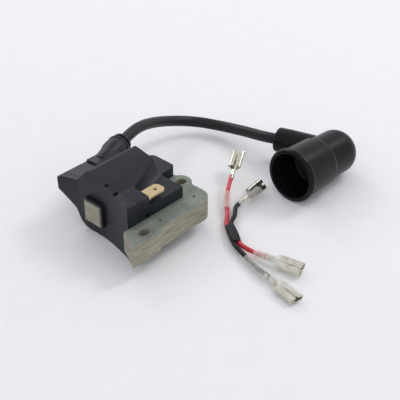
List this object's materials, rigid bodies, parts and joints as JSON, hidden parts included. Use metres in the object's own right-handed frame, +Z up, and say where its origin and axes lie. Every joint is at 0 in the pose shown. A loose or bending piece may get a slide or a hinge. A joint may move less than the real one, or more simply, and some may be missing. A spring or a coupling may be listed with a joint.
{
  "type": "ignition coil",
  "caption": "Flywheel ignition coil with laminated two-leg core, moulded case, spade terminal, high-tension lead with elbow plug boot, and a loose spliced kill lead",
  "frame": {"origin": "bottom centre of the coil's box, with the loose lead, plug boot and kill lead left out", "axes": "+Z is up from the bench, along the normal of the core's sheets; -Y faces the flywheel; +X points from the wound leg to the side leg"},
  "size_m": [0.1317, 0.1343, 0.0315],
  "materials": {
    "lamination_steel": "bare stamped sheet, faint oil and rust",
    "case_plastic": "satin blue-black moulding",
    "bobbin_plastic": "satin moulding",
    "copper_wire": "enamelled copper winding",
    "potting_resin": "cast epoxy",
    "circuit_board": "solder mask",
    "chip_plastic": "moulded epoxy",
    "ceramic": "dipped coating",
    "brass_terminal": "bare brass",
    "lead_rubber": "satin",
    "boot_rubber": "semi-gloss moulded rubber",
    "tinned_metal": "tin plate",
    "red_wire_pvc": "extruded insulation",
    "black_wire_pvc": "extruded insulation",
    "clear_pvc": "clear yellowed tube",
    "heat_shrink": "shrunk tube"
  },
  "bodies": {
    "coil": {"core_lamination_01": "lamination_steel", "core_lamination_02": "lamination_steel", "core_lamination_03": "lamination_steel", "core_lamination_04": "lamination_steel", "core_lamination_05": "lamination_steel", "core_lamination_06": "lamination_steel", "core_lamination_07": "lamination_steel", "core_lamination_08": "lamination_steel", "core_lamination_09": "lamination_steel", "core_lamination_10": "lamination_steel", "case_front_cover": "case_plastic", "coil_case": "case_plastic", "primary_bobbin": "bobbin_plastic", "primary_winding": "copper_wire", "secondary_bobbin": "bobbin_plastic", "secondary_winding_1": "copper_wire", "secondary_winding_2": "copper_wire", "secondary_winding_3": "copper_wire", "secondary_winding_4": "copper_wire", "potting_resin": "potting_resin", "module_circuit_board": "circuit_board", "power_transistor": "chip_plastic", "driver_transistor": "chip_plastic", "bias_resistor": "ceramic", "suppressor_capacitor": "ceramic", "kill_terminal": "brass_terminal", "lead_grommet": "lead_rubber", "high_tension_pin": "brass_terminal", "ht_lead": "lead_rubber"},
    "lead_end": {"ht_lead_end": "lead_rubber"},
    "plug_boot": {"plug_boot": "boot_rubber", "plug_contact_spring": "tinned_metal"},
    "kill_lead": {"splice_heat_shrink": "heat_shrink", "red_wire_long": "red_wire_pvc", "black_wire_short": "black_wire_pvc", "red_wire_short": "red_wire_pvc", "black_wire_long": "black_wire_pvc", "red_receptacle_long": "tinned_metal", "black_receptacle_short": "tinned_metal", "red_receptacle_short": "tinned_metal", "black_receptacle_long": "tinned_metal"},
    "sleeve_red_long": {"clear_sleeve_red_long": "clear_pvc"},
    "sleeve_black_short": {"clear_sleeve_black_short": "clear_pvc"},
    "sleeve_red_short": {"clear_sleeve_red_short": "clear_pvc"},
    "sleeve_black_long": {"clear_sleeve_black_long": "clear_pvc"}
  },
  "joints": [
    {"name": "lead_lift", "type": "slide", "parent": "coil", "child": "lead_end", "axis": [0, 0, 1], "range_m": [0, 0.009]},
    {"name": "boot_swivel", "type": "hinge", "parent": "lead_end", "child": "plug_boot", "pos_m": [0.0156, 0.08755, 0.01235], "axis": [-0.9601, -0.2795, 0.0113], "range_deg": [0, 90]},
    {"name": "kill_lead_lift", "type": "slide", "parent": "coil", "child": "kill_lead", "axis": [0, 0, 1], "range_m": [0, 0.03]},
    {"name": "sleeve_red_long_slide", "type": "slide", "parent": "kill_lead", "child": "sleeve_red_long", "axis": [-0.6483, 0.7504, 0.1288], "range_m": [0, 0.004]},
    {"name": "sleeve_black_short_slide", "type": "slide", "parent": "kill_lead", "child": "sleeve_black_short", "axis": [0.105, -0.9939, -0.035], "range_m": [0, 0.002]},
    {"name": "sleeve_red_short_slide", "type": "slide", "parent": "kill_lead", "child": "sleeve_red_short", "axis": [-0.9857, -0.1676, -0.0197], "range_m": [0, 0.003]},
    {"name": "sleeve_black_long_slide", "type": "slide", "parent": "kill_lead", "child": "sleeve_black_long", "axis": [-0.9835, 0.1799, 0.02], "range_m": [0, 0.003]}
  ],
  "couplings": [
    {"joint": "lead_lift", "follows": "boot_swivel", "m_per_rad": 0.005724}
  ]
}
